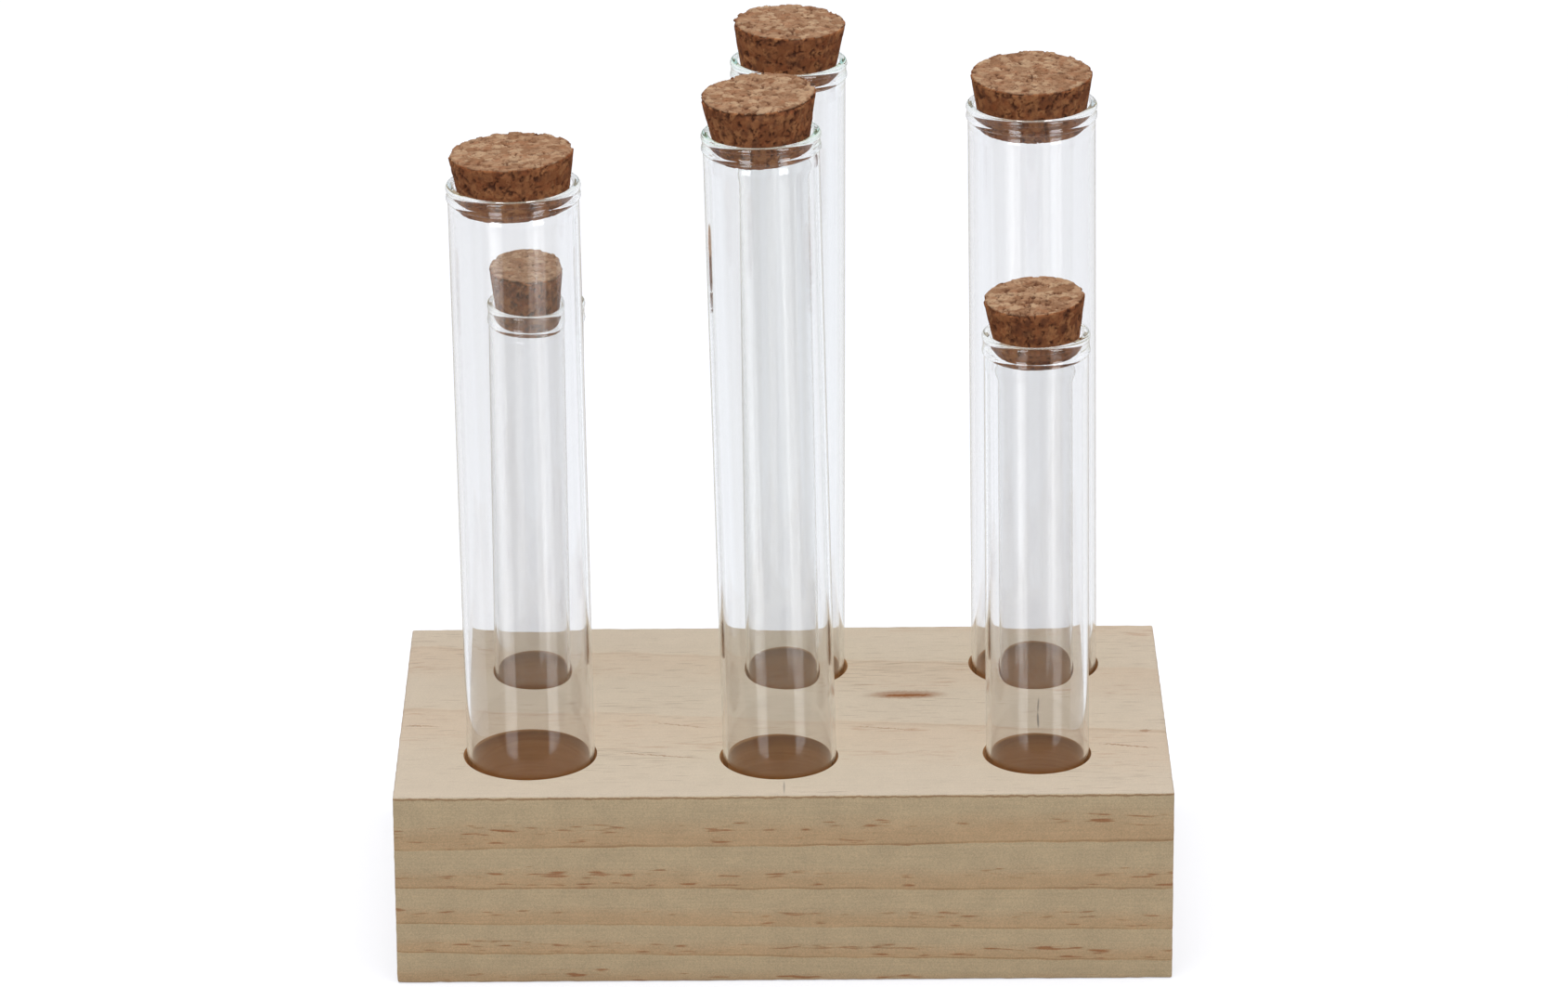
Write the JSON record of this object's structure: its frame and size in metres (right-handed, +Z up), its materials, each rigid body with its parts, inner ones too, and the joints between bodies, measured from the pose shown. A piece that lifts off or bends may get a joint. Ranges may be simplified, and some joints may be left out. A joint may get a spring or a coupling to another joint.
{
  "type": "test tube vase",
  "caption": "Bud vase: corked glass test tubes of mixed width and length standing upright in a rectangular bored block of pine.",
  "frame": {"origin": "middle of the block's underside", "axes": "+Z up, +X along the block to the right, +Y from the front row to the rear row"},
  "size_m": [0.19, 0.109, 0.2218],
  "materials": {
    "pine_wood": "planed and sanded, unvarnished",
    "clear_glass": "polished, colourless",
    "agglomerate_cork": "granular, matt"
  },
  "bodies": {
    "wood_block": {"wood_block": "pine_wood"},
    "tube_front_left": {"tube_front_left": "clear_glass"},
    "cork_front_left": {"cork_front_left": "agglomerate_cork"},
    "tube_front_centre": {"tube_front_centre": "clear_glass"},
    "cork_front_centre": {"cork_front_centre": "agglomerate_cork"},
    "tube_front_right": {"tube_front_right": "clear_glass"},
    "cork_front_right": {"cork_front_right": "agglomerate_cork"},
    "tube_rear_left": {"tube_rear_left": "clear_glass"},
    "cork_rear_left": {"cork_rear_left": "agglomerate_cork"},
    "tube_rear_centre": {"tube_rear_centre": "clear_glass"},
    "cork_rear_centre": {"cork_rear_centre": "agglomerate_cork"},
    "tube_rear_right": {"tube_rear_right": "clear_glass"},
    "cork_rear_right": {"cork_rear_right": "agglomerate_cork"}
  },
  "joints": [
    {"name": "tube_front_left_lift", "type": "slide", "parent": "wood_block", "child": "tube_front_left", "axis": [-0.0108, 0, 0.9999], "range_m": [0, 0.05]},
    {"name": "cork_front_left_pull", "type": "slide", "parent": "tube_front_left", "child": "cork_front_left", "axis": [-0.0108, 0, 0.9999], "range_m": [0, 0.036]},
    {"name": "tube_front_centre_lift", "type": "slide", "parent": "wood_block", "child": "tube_front_centre", "axis": [-0.0216, 0, 0.9998], "range_m": [0, 0.05]},
    {"name": "cork_front_centre_pull", "type": "slide", "parent": "tube_front_centre", "child": "cork_front_centre", "axis": [-0.0216, 0, 0.9998], "range_m": [0, 0.036]},
    {"name": "tube_front_right_lift", "type": "slide", "parent": "wood_block", "child": "tube_front_right", "axis": [-0.0091, 0, 1], "range_m": [0, 0.05]},
    {"name": "cork_front_right_pull", "type": "slide", "parent": "tube_front_right", "child": "cork_front_right", "axis": [-0.0091, 0, 1], "range_m": [0, 0.036]},
    {"name": "tube_rear_left_lift", "type": "slide", "parent": "wood_block", "child": "tube_rear_left", "axis": [0.0105, 0, 0.9999], "range_m": [0, 0.05]},
    {"name": "cork_rear_left_pull", "type": "slide", "parent": "tube_rear_left", "child": "cork_rear_left", "axis": [0.0105, 0, 0.9999], "range_m": [0, 0.036]},
    {"name": "tube_rear_centre_lift", "type": "slide", "parent": "wood_block", "child": "tube_rear_centre", "axis": [0.0049, 0, 1], "range_m": [0, 0.05]},
    {"name": "cork_rear_centre_pull", "type": "slide", "parent": "tube_rear_centre", "child": "cork_rear_centre", "axis": [0.0049, 0, 1], "range_m": [0, 0.036]},
    {"name": "tube_rear_right_lift", "type": "slide", "parent": "wood_block", "child": "tube_rear_right", "axis": [-0.0094, 0, 1], "range_m": [0, 0.05]},
    {"name": "cork_rear_right_pull", "type": "slide", "parent": "tube_rear_right", "child": "cork_rear_right", "axis": [-0.0094, 0, 1], "range_m": [0, 0.036]}
  ]
}
